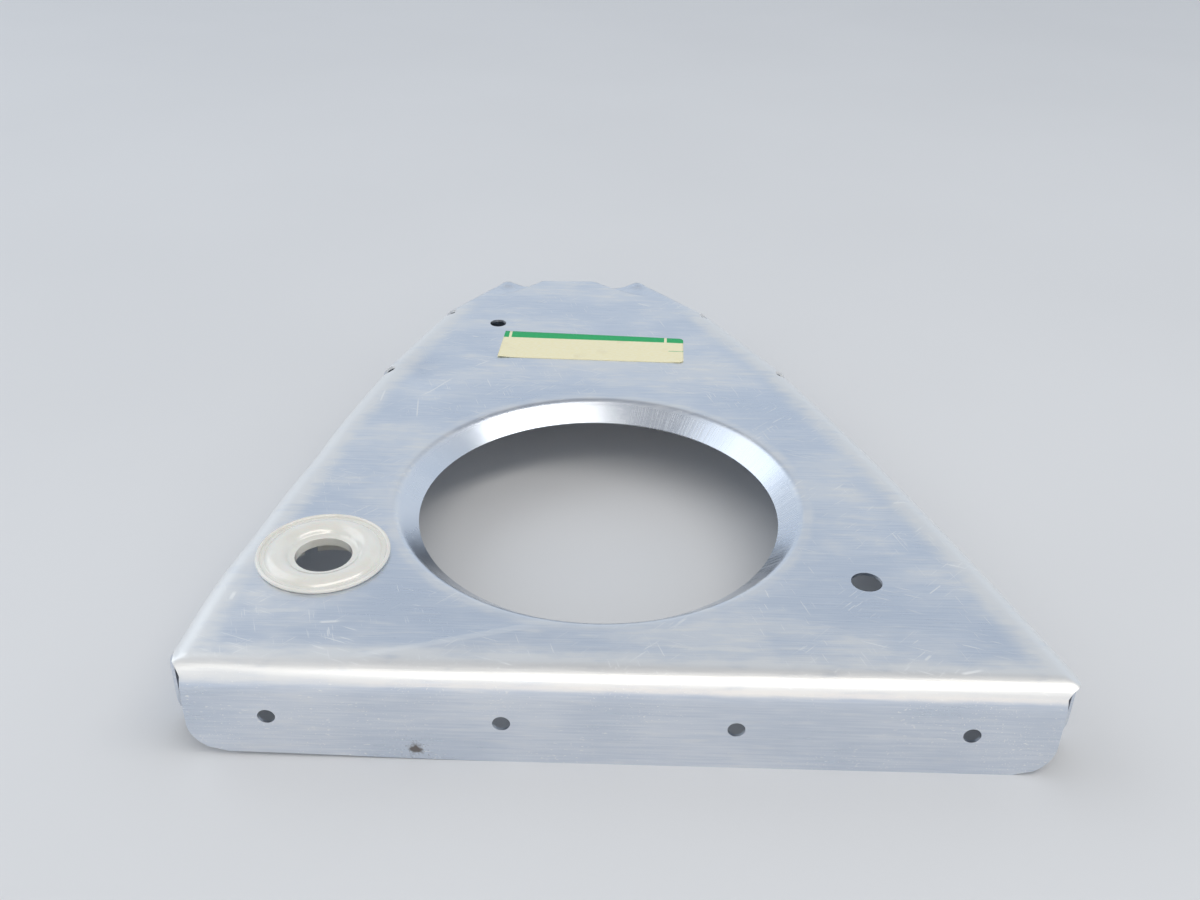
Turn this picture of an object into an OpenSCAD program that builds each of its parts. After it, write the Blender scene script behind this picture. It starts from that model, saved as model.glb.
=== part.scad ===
// Nose rib of a light aircraft wing: one pressed aluminium sheet with flanges bent down all round,
// a flanged lightening hole, a nylon snap grommet in the web and a blank paper stock label.
// Units are mm. The rib lies as it rests, on the lower edges of its flanges, with the web level on top.
// +X runs along the spar flange, +Y from the spar flange to the nose, +Z up.

/* [Sheet] */
// Sheet thickness
sheet_thickness = 0.64; // [0.4:0.01:1.6]
// Height of the flanges, from their lower edges to the top of the web
flange_height = 20; // [16:0.1:30]
// Outside radius of the bend between web and flanges
bend_radius = 5.3; // [3:0.1:7]
// Radius of the lower corners of the flanges at the open corners
flange_corner_radius = 7; // [4:0.1:9]

/* [Outline] */
// Spar face to the middle of the nose face
rib_length = 180.6; // [172:0.1:195]
// Width of the rib at the spar face, over the long side flanges
spar_width = 170.9; // [167:0.1:182]
// Middle of the spar face, right of the rivet row centre
spar_middle = 1.25; // [0:0.05:2]
// Rivet row centre to the nose end of the long left flange
long_left_x = 62.7; // [60:0.1:65]
// Spar face to the nose end of the long left flange
long_left_y = 118; // [113:0.1:123]
// Rivet row centre to the nose end of the long right flange
long_right_x = 44.4; // [42:0.1:47]
// Spar face to the nose end of the long right flange
long_right_y = 119.8; // [115:0.1:125]
// Rivet row centre to the nose end of the short left flange
short_left_x = 50.4; // [48:0.1:52]
// Spar face to the nose end of the short left flange
short_left_y = 157.1; // [153:0.1:160]
// Rivet row centre to the nose end of the short right flange
short_right_x = 24.9; // [23:0.1:27]
// Spar face to the nose end of the short right flange
short_right_y = 158.2; // [154:0.1:161]
// Rivet row centre to the left corner of the nose
nose_left = 35.7; // [33:0.1:38]
// Rivet row centre to the right corner of the nose
nose_right = 5.5; // [3:0.1:8]
// Turn of the nose face against the spar face, in degrees
nose_turn = 2.1; // [0:0.1:4]
// Outward bow of the long left flange between its ends
bow_left = 1.8; // [1:0.1:4]
// Outward bow of the long right flange between its ends
bow_right = 1.7; // [1:0.1:4]
// Step by which the short flanges stand outside the line of the long ones
side_step = 0.75; // [0:0.05:1.2]

/* [Relief notches] */
// Width of each notch along the flange
notch_width = 3.8; // [2.5:0.1:5]
// Depth of each notch from the outer face of the flange
notch_depth = 4.1; // [3.2:0.1:5]
// Left notch nearer the spar, from the spar face
left_notch_1 = 119.3; // [117:0.1:122]
// Left notch nearer the nose, from the spar face
left_notch_2 = 154.6; // [153:0.1:157]
// Right notch nearer the spar, from the spar face
right_notch_1 = 122.2; // [119:0.1:124]
// Right notch nearer the nose, from the spar face
right_notch_2 = 156.4; // [154:0.1:158]

/* [Open corners] */
// Depth of the open corner, from the outer faces of both flanges
corner_relief = 3; // [2:0.1:4]
// Distance from the spar face to the start of the long side flanges
side_flange_start = 7.7; // [6:0.1:10]
// Leftmost rivet hole to the left end of the spar flange
spar_overhang_left = 15; // [12:0.1:16]
// Rightmost rivet hole to the right end of the spar flange
spar_overhang_right = 16; // [12:0.1:17]

/* [Rivet holes] */
// Distance from one rivet hole to the next
rivet_pitch = 42.8; // [40:0.1:44]
// Diameter of the rivet holes
rivet_hole_diameter = 3.26; // [2:0.01:5]
// Height of the rivet holes over the lower edge of the flange
rivet_height = 9.4; // [7:0.1:11]

/* [Lightening hole] */
// Diameter of the clear opening, at the lip
lightening_diameter = 78.2; // [70:0.1:84]
// Lightening hole centre, left of the rivet row centre
lightening_x = 4.9; // [2:0.1:8]
// Lightening hole centre, from the spar face
lightening_y = 60.3; // [57:0.1:64]
// Upper radius of the bend around the hole
lip_bend_radius = 6; // [3:0.1:7]
// Length of the straight lip below the bend
lip_length = 3.2; // [1:0.1:5]

/* [Tooling holes] */
// Diameter of the tooling hole beside the lightening hole
tooling_diameter = 6.2; // [4:0.05:8]
// Tooling hole beside the lightening hole, right of the rivet row centre
tooling_x = 48.8; // [47:0.1:51]
// Tooling hole beside the lightening hole, from the spar face
tooling_y = 31.5; // [28:0.1:35]
// Diameter of the tooling hole near the nose
nose_hole_diameter = 4.4; // [3:0.05:6]
// Tooling hole near the nose, left of the rivet row centre
nose_hole_x = 34.4; // [32:0.1:36]
// Tooling hole near the nose, from the spar face
nose_hole_y = 146.4; // [145:0.1:149]

/* [Nose flutes] */
// Length of the flutes, from the nose face to where they run out in the web
flute_length = 18; // [14:0.1:20]
// Radius of the left flute across
flute_left_radius = 7.5; // [6:0.1:10]
// Slope of the floor of the left flute, in degrees
flute_left_slope = 10; // [7:0.1:12]
// Left flute at the nose face, left of the rivet row centre
flute_left_x = 29.4; // [28:0.1:31]
// Turn of the left flute against the length of the rib, in degrees
flute_left_turn = 30; // [20:0.5:36]
// Radius of the right flute across
flute_right_radius = 9; // [7:0.1:11]
// Slope of the floor of the right flute, in degrees
flute_right_slope = 11.5; // [8:0.1:13]
// Right flute at the nose face, left of the rivet row centre
flute_right_x = 2.2; // [1:0.1:4]
// Turn of the right flute against the length of the rib, in degrees
flute_right_turn = 39; // [28:0.5:44]

/* [Grommet] */
// Outside diameter of the grommet head
grommet_diameter = 27; // [26:0.1:28]
// Diameter of the way through the grommet
grommet_bore = 11.5; // [9:0.1:12]
// Hole in the web that the grommet snaps into
grommet_seat_diameter = 22.2; // [21:0.1:23]
// Play between the grommet neck and its hole, across the diameter
grommet_play = 0.2; // [0.1:0.05:0.4]
// Height of the crown of the head over the web
grommet_crown = 1.45; // [1.2:0.05:2]
// Depth of the snap fingers below the web
grommet_depth = 6; // [4:0.1:9]
// Grommet, left of the rivet row centre
grommet_x = 60.2; // [59:0.1:61]
// Grommet, from the spar face
grommet_y = 36.3; // [34:0.1:37.5]

/* [Label] */
// Length of the label
label_length = 48.8; // [44:0.1:51]
// Width of the label at its right end
label_width = 14.3; // [12:0.1:15.5]
// Extra width of the label at its left end
label_flare = 1.3; // [0:0.1:2]
// Thickness of the label paper
label_thickness = 0.12; // [0.08:0.01:0.3]
// Label centre, left of the rivet row centre
label_x = 8.2; // [7:0.1:10]
// Label centre, from the spar face
label_y = 132.8; // [131.8:0.1:134]
// Turn of the label against the spar face, in degrees
label_turn = 1.9; // [0:0.1:4]
// Slant of the cut left end of the label
label_slant = 1.3; // [0:0.1:3]
// Radius of the rounded right corners of the label
label_corner = 1.3; // [0.5:0.1:3]

/* [Hidden] */
$fn = 96;
// length by which cutters run past what they cut
past = 5;
// size of the solids that the outline is cut from
reach = 200;
// ends of the spar flange, from the rivet row centre
spar_flange_left = 1.5 * rivet_pitch + spar_overhang_left;
spar_flange_right = 1.5 * rivet_pitch + spar_overhang_right;
// y of the nose face at x
function nose_y(x) = rib_length + (x - (nose_right - nose_left) / 2) * tan(nose_turn);
// corners of the outline at the outer faces of the flanges
front_left = [spar_middle - spar_width / 2, 0];
front_right = [spar_middle + spar_width / 2, 0];
right_1 = [long_right_x, long_right_y];
right_2 = [short_right_x, short_right_y];
nose_corner_right = [nose_right, nose_y(nose_right)];
nose_corner_left = [-nose_left, nose_y(-nose_left)];
left_2 = [-short_left_x, short_left_y];
left_1 = [-long_left_x, long_left_y];
// where the short flanges start, beside the ends of the long ones
right_start = right_1 + [side_step, 0];
left_start = left_1 - [side_step, 0];
// radius of an arc from its chord and bow
function arc_radius(a, b, bow) = norm(b - a) * norm(b - a) / (8 * bow) + bow / 2;
// direction from a to b, in degrees
function heading(a, b) = (atan2(b[1] - a[1], b[0] - a[0]) + 360) % 360;
// x on the line from a to b, at y
function line_x(a, b, y) = a[0] + (b[0] - a[0]) * (y - a[1]) / (b[1] - a[1]);
// centre of an arc that bows away from the web, which is on the left from a to b
function arc_centre(a, b, bow) =
    (a + b) / 2
    + (arc_radius(a, b, bow) - bow) * [-sin(heading(a, b)), cos(heading(a, b))];
left_centre = arc_centre(left_1, front_left, bow_left);
left_radius = arc_radius(left_1, front_left, bow_left);
right_centre = arc_centre(front_right, right_1, bow_right);
right_radius = arc_radius(front_right, right_1, bow_right);
// x of the outer faces of the long side flanges at y
function left_x(y) = left_centre[0] - sqrt(left_radius * left_radius - pow(y - left_centre[1], 2));
function right_x(y) = right_centre[0] + sqrt(right_radius * right_radius - pow(y - right_centre[1], 2));
// line across the web between the first notches, square to the short flanges near its ends
function inward(a, b, y, along) = [line_x(a, b, y), y] + along * [-sin(heading(a, b)), cos(heading(a, b))];
across_depth = 3 * bend_radius;
across_right = inward(right_start, right_2, right_notch_1, across_depth);
across_left = inward(left_2, left_start, left_notch_1, across_depth);
across = [
    inward(right_start, right_2, right_notch_1, -reach),
    across_right,
    (across_right + across_left) / 2 - [0, past],
    across_left,
    inward(left_2, left_start, left_notch_1, -reach)
];
// the middle of the whole, which is the origin
middle_x = (left_x(side_flange_start) + right_x(side_flange_start)) / 2;
middle_y = max(nose_corner_left[1], nose_corner_right[1]) / 2;
// how far the round of a lower corner passes beyond the edges that it joins
corner_ease = 0.1;
// overlap of shapes that are joined into one piece
lap = 0.3;
// radius at which the bend around the lightening hole starts
lip_start_radius =
    lightening_diameter / 2 + (lip_bend_radius + lip_length) * sin(45);
// grommet head: thickness of the rim, radius of its bead, radius of the crown in section, and how far
// the crown's highest line lies inside the middle of the ring
rim_height = 0.6;
rim_bead = 0.45;
crown_radius = 4.8;
crown_shift = 0.5;
// grommet throat: step under the crown, its drop below the web, wall and depth below the web
throat_step = 0.4;
throat_drop = 0.1;
throat_wall = 1.2;
throat_depth = 2;
// grommet snap fingers: wall, width of the catch and its play under the web, gaps between the fingers
// and depth of their root
finger_wall = 1.3;
catch_width = 0.5;
catch_play = 0.1;
finger_gap = 3;
finger_root = 2.5;

// Section across a flange of all that lies behind its outer face and below its bend and the web:
// x runs into the web from the outer face, y up from the lower edge. inset moves it in by one sheet.
module edge_section(inset) {
    foot = inset > 0 ? past : 0;
    translate([inset, -foot]) square([reach, flange_height - bend_radius + foot]);
    translate([bend_radius, -foot]) square([reach, flange_height - inset + foot]);
    translate([bend_radius, flange_height - bend_radius]) circle(r = bend_radius - inset);
}

// Solid behind a straight flange along the line from a to b.
module behind(a, b, inset) {
    translate([a[0], a[1], 0])
        rotate([0, 0, heading(a, b)])
            translate([-reach, 0, 0])
                rotate([90, 0, 90])
                    linear_extrude(height = 2 * reach)
                        edge_section(inset);
}

// Solid behind a flange that bows outward between a and b.
module behind_bow(a, b, bow, inset) {
    centre = arc_centre(a, b, bow);
    translate([centre[0], centre[1], 0])
        rotate([0, 0, heading(a, b) - 100])
            rotate_extrude(angle = 20, $fn = 1440)
                translate([arc_radius(a, b, bow), 0])
                    mirror([1, 0])
                        edge_section(inset);
}

// Block within the spar flange and the long flange on each side.
module front_block(inset) {
    intersection() {
        behind(front_left, front_right, inset);
        behind_bow(left_1, front_left, bow_left, inset);
        behind_bow(front_right, right_1, bow_right, inset);
    }
}

// Round trough that starts in the web and sinks toward the nose, where it cuts through the bend.
module flute(x, turn, radius, slope, inset) {
    translate([x, nose_y(x), flange_height])
        rotate([0, 0, 90 + turn])
            translate([-flute_length, 0, 0])
                rotate([0, 90 + slope, 0])
                    translate([-radius, 0, -flute_length])
                        cylinder(r = radius + inset, h = 4 * flute_length);
}

// Block within the short flanges and the three of the nose, with both flutes sunk into it.
module nose_block(inset) {
    difference() {
        intersection() {
            behind(right_start, right_2, inset);
            behind(left_2, left_start, inset);
            behind(right_2, nose_corner_right, inset);
            behind(nose_corner_right, nose_corner_left, inset);
            behind(nose_corner_left, left_2, inset);
        }
        flute(-flute_left_x, -flute_left_turn, flute_left_radius, flute_left_slope, inset);
        flute(-flute_right_x, flute_right_turn, flute_right_radius, flute_right_slope, inset);
    }
}

// Sheet between an outer and an inner block, kept over the given outline.
module sheet(outline) {
    intersection() {
        difference() {
            children(0);
            children(1);
        }
        translate([0, 0, -2 * past])
            linear_extrude(height = flange_height + 4 * past)
                polygon(outline);
    }
}

// Web and all flanges before the cuts, joined from the first notch on one side to that on the other.
module pressing() {
    sheet(concat([[-reach, -past], [reach, -past]], across)) {
        front_block(0);
        front_block(sheet_thickness);
    }
    sheet(concat(across, [[-reach, rib_length + reach], [reach, rib_length + reach]])) {
        nose_block(0);
        nose_block(sheet_thickness);
    }
}

// Round-ended notch that parts two flanges, at y on the line of the flange from a to b, seen from above.
module notch(a, b, y) {
    translate([line_x(a, b, y), y, -past])
        rotate([0, 0, heading(a, b)])
            linear_extrude(height = flange_height + 2 * past) {
                translate([0, notch_depth - notch_width / 2]) circle(d = notch_width);
                translate([-notch_width / 2, -3 * past])
                    square([notch_width, 3 * past + notch_depth - notch_width / 2]);
            }
}

// Opening at a front corner between the spar flange and a side flange, seen from above.
// side is -1 at the left and 1 at the right.
module open_corner(corner, side) {
    lean_tip = abs(corner[0]) - abs(side < 0 ? left_x(corner_relief) : right_x(corner_relief));
    lean_end = abs(corner[0]) - abs(side < 0 ? left_x(side_flange_start) : right_x(side_flange_start));
    flange_end = abs(corner[0]) - (side < 0 ? spar_flange_left : spar_flange_right);
    translate([corner[0], 0, -past])
        mirror([side < 0 ? 0 : 1, 0, 0])
            linear_extrude(height = flange_height + 2 * past)
                polygon([
                    [-past, -past],
                    [flange_end, -past],
                    [flange_end, 1.5 * sheet_thickness],
                    [lean_tip + corner_relief, corner_relief],
                    [lean_end + 2 * sheet_thickness, side_flange_start],
                    [-past, side_flange_start]
                ]);
}

// What rounds off the lower corner of a flange that ends at x = 0 and runs to +x.
module corner_off(span) {
    radius = flange_corner_radius;
    rotate([90, 0, 0])
        linear_extrude(height = span, center = true)
            difference() {
                translate([-past, -past]) square(radius + past);
                translate([radius - corner_ease, radius - corner_ease]) circle(r = radius);
            }
}

// Flange around the lightening hole: a bend of 45 degrees and a straight lip.
module lightening_lip() {
    outer = lip_bend_radius;
    inner = lip_bend_radius - sheet_thickness;
    straight = lip_length * [-1, -1] / sqrt(2);
    translate([-lightening_x, lightening_y, 0])
        rotate_extrude($fn = 128)
            translate([lip_start_radius, flange_height - lip_bend_radius])
                polygon(concat(
                    [[5 * lap, outer]],
                    [for (turn = [0 : 5 : 45]) outer * [-sin(turn), cos(turn)]],
                    [outer * [-sin(45), cos(45)] + straight, inner * [-sin(45), cos(45)] + straight],
                    [for (turn = [45 : -5 : 0]) inner * [-sin(turn), cos(turn)]],
                    [[5 * lap, inner]]
                ));
}

// The pressed sheet: web, flanges, lip and holes in one piece.
module rib() {
    color([0.78, 0.79, 0.80])
        translate([-middle_x, -middle_y, 0]) {
            difference() {
                pressing();
                translate([-lightening_x, lightening_y, 0])
                    cylinder(r = lip_start_radius, h = flange_height + past, $fn = 128);
                translate([-grommet_x, grommet_y, 0])
                    cylinder(d = grommet_seat_diameter, h = flange_height + past);
                translate([tooling_x, tooling_y, 0])
                    cylinder(d = tooling_diameter, h = flange_height + past);
                translate([-nose_hole_x, nose_hole_y, 0])
                    cylinder(d = nose_hole_diameter, h = flange_height + past);
                for (i = [-1.5, -0.5, 0.5, 1.5])
                    translate([i * rivet_pitch, past, rivet_height])
                        rotate([90, 0, 0])
                            cylinder(d = rivet_hole_diameter, h = 2 * past);
                notch(right_start, right_2, right_notch_1);
                notch(right_start, right_2, right_notch_2);
                notch(left_2, left_start, left_notch_2);
                notch(left_2, left_start, left_notch_1);
                open_corner(front_left, -1);
                open_corner(front_right, 1);
                translate([-spar_flange_left, 0, 0]) corner_off(past);
                translate([spar_flange_right, 0, 0]) mirror([1, 0, 0]) corner_off(past);
                for (x = [left_x(side_flange_start), right_x(side_flange_start)])
                    translate([x, side_flange_start, 0]) rotate([0, 0, 90]) corner_off(2 * past);
            }
            lightening_lip();
        }
}

// Head of the grommet, with its lower face on z = 0: a crowned ring and a rim with a bead.
module grommet_head(bore, rim) {
    rotate_extrude()
        intersection() {
            translate([(bore + rim) / 2 - crown_shift, grommet_crown - crown_radius]) circle(r = crown_radius);
            translate([bore + throat_step, 0]) square([rim - bore - 2 * rim_bead, grommet_crown + lap]);
        }
    rotate_extrude()
        translate([bore + throat_step + lap, 0])
            square([rim - rim_bead - bore - throat_step - lap, rim_height]);
    rotate_extrude()
        translate([rim - rim_bead, rim_bead]) circle(r = rim_bead);
}

// Throat of the grommet below the head, with a small step at its upper edge.
module grommet_throat(bore) {
    difference() {
        translate([0, 0, -throat_depth]) cylinder(r = bore + throat_wall, h = throat_depth + lap);
        translate([0, 0, -throat_drop]) cylinder(r = bore + throat_step, h = past);
        translate([0, 0, -throat_depth - past]) cylinder(r = bore, h = throat_depth + 2 * past);
    }
}

// Snap fingers that hold the grommet under the web.
module grommet_fingers(neck) {
    catch = sheet_thickness + catch_play;
    difference() {
        rotate_extrude()
            polygon([
                [neck - finger_wall, lap],
                [neck, lap],
                [neck, -catch],
                [neck + catch_width, -catch],
                [neck + catch_width, -catch - catch_width],
                [neck - catch_width, -grommet_depth],
                [neck - finger_wall, -grommet_depth]
            ]);
        for (turn = [0, 60, 120])
            rotate([0, 0, turn])
                translate([-grommet_diameter, -finger_gap / 2, -grommet_depth - past])
                    cube([2 * grommet_diameter, finger_gap, grommet_depth + past - finger_root]);
    }
}

// Nylon bushing with a crowned head over the web and snap fingers below it.
module grommet() {
    bore = grommet_bore / 2;
    color([0.93, 0.92, 0.87])
        translate([-grommet_x - middle_x, grommet_y - middle_y, flange_height]) {
            grommet_head(bore, grommet_diameter / 2);
            grommet_throat(bore);
            grommet_fingers((grommet_seat_diameter - grommet_play) / 2);
        }
}

// Blank paper label, with a slanted left end and rounded right corners.
module paper_label() {
    half = label_length / 2;
    left_half = (label_width + label_flare) / 2;
    right_half = label_width / 2;
    color([0.93, 0.90, 0.74])
        translate([-label_x - middle_x, label_y - middle_y, flange_height])
            rotate([0, 0, -label_turn])
                linear_extrude(height = label_thickness) {
                    polygon([
                        [-half, -left_half],
                        [half - label_corner, -right_half],
                        [half - label_corner, right_half],
                        [-half + label_slant, left_half]
                    ]);
                    translate([0, label_corner - right_half])
                        square([half, label_width - 2 * label_corner]);
                    for (side = [-1, 1])
                        translate([half - label_corner, side * (right_half - label_corner)])
                            circle(r = label_corner);
                }
}

rib();
grommet();
paper_label();
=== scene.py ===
import math

import bmesh
import bpy
from mathutils import Matrix, Vector
from mathutils.geometry import delaunay_2d_cdt
from mathutils.kdtree import KDTree


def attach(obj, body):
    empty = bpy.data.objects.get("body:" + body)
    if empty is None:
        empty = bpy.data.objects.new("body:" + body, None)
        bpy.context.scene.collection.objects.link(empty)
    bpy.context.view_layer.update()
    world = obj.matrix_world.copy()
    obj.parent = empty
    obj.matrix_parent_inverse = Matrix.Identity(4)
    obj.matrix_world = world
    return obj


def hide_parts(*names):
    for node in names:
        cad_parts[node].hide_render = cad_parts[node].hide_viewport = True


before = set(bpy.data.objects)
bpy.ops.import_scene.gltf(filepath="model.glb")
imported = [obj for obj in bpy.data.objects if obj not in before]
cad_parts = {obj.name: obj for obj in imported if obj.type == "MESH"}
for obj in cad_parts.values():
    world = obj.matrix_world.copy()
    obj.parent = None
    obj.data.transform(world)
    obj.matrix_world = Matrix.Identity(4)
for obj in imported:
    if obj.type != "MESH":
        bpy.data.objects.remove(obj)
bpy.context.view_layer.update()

# The rib itself: one thin aluminium sheet, cut to a blank and pressed over a form block. The web stays
# flat, the flanges turn down all around it, and a lip turns down into the large lightening hole.
# Lengths are in millimetres, x from the middle of the rivet row and y from the spar face.
mm = 0.001
sheet_thickness = 0.64
flange_height = 20
bend_radius = 5.3
bend_foot = flange_height - bend_radius
flange_corner_radius = 7

spar_left = -84.2
spar_right = 86.7
front_left = Vector((spar_left, 0))
front_right = Vector((spar_right, 0))
right_1 = Vector((44.4, 119.8))
right_2 = Vector((24.9, 158.2))
nose_corner_right = Vector((5.5, 181.355))
nose_corner_left = Vector((-35.7, 179.845))
left_2 = Vector((-50.4, 157.1))
left_1 = Vector((-62.7, 118))
side_step = Vector((0.75, 0))
right_start = right_1 + side_step
left_start = left_1 - side_step
bow_left = 1.8
bow_right = 1.7


def bowed_side(start, end, bow):
    """Centre and radius of the arc that bows away from the web between two corners of the blank."""
    chord = end - start
    radius = chord.length_squared / (8 * bow) + bow / 2
    inward = Vector((-chord.y, chord.x)).normalized()
    return (start + end) / 2 + (radius - bow) * inward, radius


left_centre, left_radius = bowed_side(left_1, front_left, bow_left)
right_centre, right_radius = bowed_side(front_right, right_1, bow_right)

# The long left flange isn't quite true: it swells near its front end and is pushed in further back.
# Each wave has its place along the flange, its reach and its height.
left_waves = [(28, 20, 0.6), (76, 15, -0.42)]


def left_wave(y):
    """How far the long left flange stands out of its arc at y."""
    height = 0
    for place, reach, highest in left_waves:
        height += highest * max(1 - ((y - place) / reach) ** 2, 0) ** 2
    return height


def spar_edge(x):
    """Point on the spar face and the way out of the web there."""
    return Vector((x, 0)), Vector((0, -1))


def long_left_edge(y):
    """Point on the outer face of the long left flange and the way out of the web there."""
    reach = math.sqrt(left_radius ** 2 - (y - left_centre.y) ** 2) + left_wave(y)
    point = Vector((left_centre.x - reach, y))
    return point, (point - left_centre).normalized()


def long_right_edge(y):
    """Point on the outer face of the long right flange and the way out of the web there."""
    reach = math.sqrt(right_radius ** 2 - (y - right_centre.y) ** 2)
    point = Vector((right_centre.x + reach, y))
    return point, (point - right_centre) / right_radius


def turned(vector, angle):
    """A vector in plan turned to the left."""
    cos, sin = math.cos(angle), math.sin(angle)
    return Vector((vector.x * cos - vector.y * sin, vector.x * sin + vector.y * cos))


# The form block's nose has rounded corners, so the run of the nose flanges is a line that is one corner
# radius further in, followed on its outer side.
nose_round = 5.6
nose_line = [right_start, right_2, nose_corner_right, nose_corner_left, left_2, left_start]
nose_heading = [(b - a).normalized() for a, b in zip(nose_line, nose_line[1:])]
nose_outward = [Vector((way.y, -way.x)) for way in nose_heading]
nose_inner = [nose_line[0] - nose_round * nose_outward[0]]
for corner, before, after in zip(nose_line[1:], nose_outward, nose_outward[1:]):
    nose_inner.append(corner - nose_round * (before + after) / (1 + before.dot(after)))
nose_inner.append(nose_line[-1] - nose_round * nose_outward[-1])
nose_span = [(b - a).length for a, b in zip(nose_inner, nose_inner[1:])]
nose_turn = [before.angle(after) for before, after in zip(nose_outward, nose_outward[1:])]


def nose_edge(along):
    """Point on the outer face of the short and nose flanges, that far along them, and the way out there."""
    last = len(nose_span) - 1
    for side, span in enumerate(nose_span):
        if along <= span or side == last:
            point = nose_inner[side] + along * nose_heading[side]
            return point + nose_round * nose_outward[side], nose_outward[side]
        along -= span
        if along <= nose_round * nose_turn[side]:
            outward = turned(nose_outward[side], along / nose_round)
            return nose_inner[side + 1] + nose_round * outward, outward
        along -= nose_round * nose_turn[side]


nose_run = sum(nose_span) + nose_round * sum(nose_turn)


def spar_inset(point):
    """How far a point in plan lies in from the outer faces of the spar flange and of both long flanges."""
    left = left_radius + left_wave(point.y) - (point - left_centre).length
    right = right_radius - (point - right_centre).length
    return point.y, left, right


def nose_inset(point):
    """How far a point in plan lies in from the nearest outer face of the short and nose flanges."""
    nearest = None
    within = True
    for start, way, outward, span in zip(nose_inner, nose_heading, nose_outward, nose_span):
        offset = point - start
        if offset.dot(outward) > 0:
            within = False
        along = min(max(offset.dot(way), 0), span)
        gap = (offset - along * way).length
        nearest = gap if nearest is None else min(nearest, gap)
    return nose_round + nearest if within else nose_round - nearest


# Four round-ended notches part the short flanges from the long ones and from the nose.
notch_width = 3.8
notch_depth = 4.5
notch_steps = 12
right_notch_y = (122.2, 156.4)
left_notch_y = (154.6, 119.3)


def on_line(start, end, y):
    """Point on a straight flange's outer face at y."""
    return start + (end - start) * ((y - start.y) / (end.y - start.y))


right_way, left_way = nose_heading[0], nose_heading[-1]
right_notches = [on_line(right_start, right_2, y) for y in right_notch_y]
left_notches = [on_line(left_2, left_start, y) for y in left_notch_y]


def smooth(low, high, value):
    """A soft step from 0 at low to 1 at high."""
    share = min(max((value - low) / (high - low), 0), 1)
    return share * share * (3 - 2 * share)


def bend_drop(inset):
    """How far the sheet has turned down below the web, that far in from a flange's outer face."""
    reach = min(max(bend_radius - inset, 0), bend_radius)
    return bend_radius - math.sqrt(bend_radius ** 2 - reach ** 2)


notch_blend = 2.5


def web_height(point):
    """Height of the sheet's upper face over a point in plan, web and upper part of the bends."""
    if point.x < (left_1.x + right_1.x) / 2:
        past_notch = (left_notches[1] - point).dot(left_way)
    else:
        past_notch = (point - right_notches[0]).dot(right_way)
    nose_share = smooth(-notch_blend, notch_blend, past_notch)
    spar_drop = max(bend_drop(inset) for inset in spar_inset(point))
    nose_drop = bend_drop(nose_inset(point))
    return flange_height - spar_drop * (1 - nose_share) - nose_drop * nose_share


# The web is laid out in plan as far as rim_inset from the outer faces, where the bends are still gentle.
# The rest of each bend and its flange is a strip that hangs from there, row by row.
rim_inset = 2.0
bend_steps = 9
flange_steps = 14
rim_turn = math.asin((bend_radius - rim_inset) / bend_radius)
bend_rows = []
for step in range(bend_steps + 1):
    turn = rim_turn + (math.pi / 2 - rim_turn) * step / bend_steps
    inset = bend_radius * (1 - math.sin(turn))
    bend_rows.append((inset, bend_foot + bend_radius * math.cos(turn)))
flange_rows = [(0, bend_foot * (1 - step / flange_steps)) for step in range(1, flange_steps + 1)]
halvings = 40


def corner_back(height):
    """How far the round of a flange's lower corner draws its end back at a height."""
    rise = max(flange_corner_radius - height, 0)
    return flange_corner_radius - math.sqrt(flange_corner_radius ** 2 - rise ** 2)


def cut_place(edge, low, high, cut, inset, height):
    """Place along an edge where a cut meets the sheet, by halving between a place before and one after."""
    for halving in range(halvings):
        middle = (low + high) / 2
        point, outward = edge(middle)
        if cut(point - inset * outward, height) < 0:
            low = middle
        else:
            high = middle
    return (low + high) / 2


def hang_rows(edge, start, end, rows, count):
    """Rows of points down a flange. start and end are (place before, place after, cut)."""
    grid = []
    for inset, height in rows:
        first = cut_place(edge, *start, inset, height)
        last = cut_place(edge, *end, inset, height)
        row = []
        for step in range(count + 1):
            point, outward = edge(first + (last - first) * step / count)
            point = point - inset * outward
            row.append(Vector((point.x, point.y, height)))
        grid.append(row)
    return grid


def notch_cut(notch, way, side):
    """Cut along one side of a notch: side is -1 where the flange ends at it and 1 where it starts."""
    return lambda point, height: (point - notch).dot(way) - side * notch_width / 2


# The front corners are open: a relief is cut between the spar flange and each side flange, and the lower
# corners of those flanges are rounded.
corner_relief = 3.0
side_flange_start = 7.7
spar_flange_left = -79.2
spar_flange_right = 80.2
relief_foot = 1.5 * sheet_thickness
relief_side = 2 * sheet_thickness
relief_left = Vector((long_left_edge(corner_relief)[0].x + corner_relief, corner_relief))
relief_right = Vector((long_right_edge(corner_relief)[0].x - corner_relief, corner_relief))
relief_left_end = Vector((long_left_edge(side_flange_start)[0].x + relief_side, side_flange_start))
relief_right_end = Vector((long_right_edge(side_flange_start)[0].x - relief_side, side_flange_start))


def spar_start(point, height):
    """Cut at the left end of the spar flange."""
    share = min(max((point.y - relief_foot) / (corner_relief - relief_foot), 0), 1)
    limit = spar_flange_left + (relief_left.x - spar_flange_left) * share
    return point.x - limit - corner_back(height)


def spar_end(point, height):
    """Cut at the right end of the spar flange."""
    share = min(max((point.y - relief_foot) / (corner_relief - relief_foot), 0), 1)
    limit = spar_flange_right + (relief_right.x - spar_flange_right) * share
    return point.x - limit + corner_back(height)


def side_limit(point, tip, end):
    """y at which a side flange starts at a point's x, along the relief."""
    share = min(max((point.x - end.x) / (tip.x - end.x), 0), 1)
    return end.y + (tip.y - end.y) * share


def right_side_start(point, height):
    """Cut at the front end of the long right flange."""
    return point.y - side_limit(point, relief_right, relief_right_end) - corner_back(height)


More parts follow.
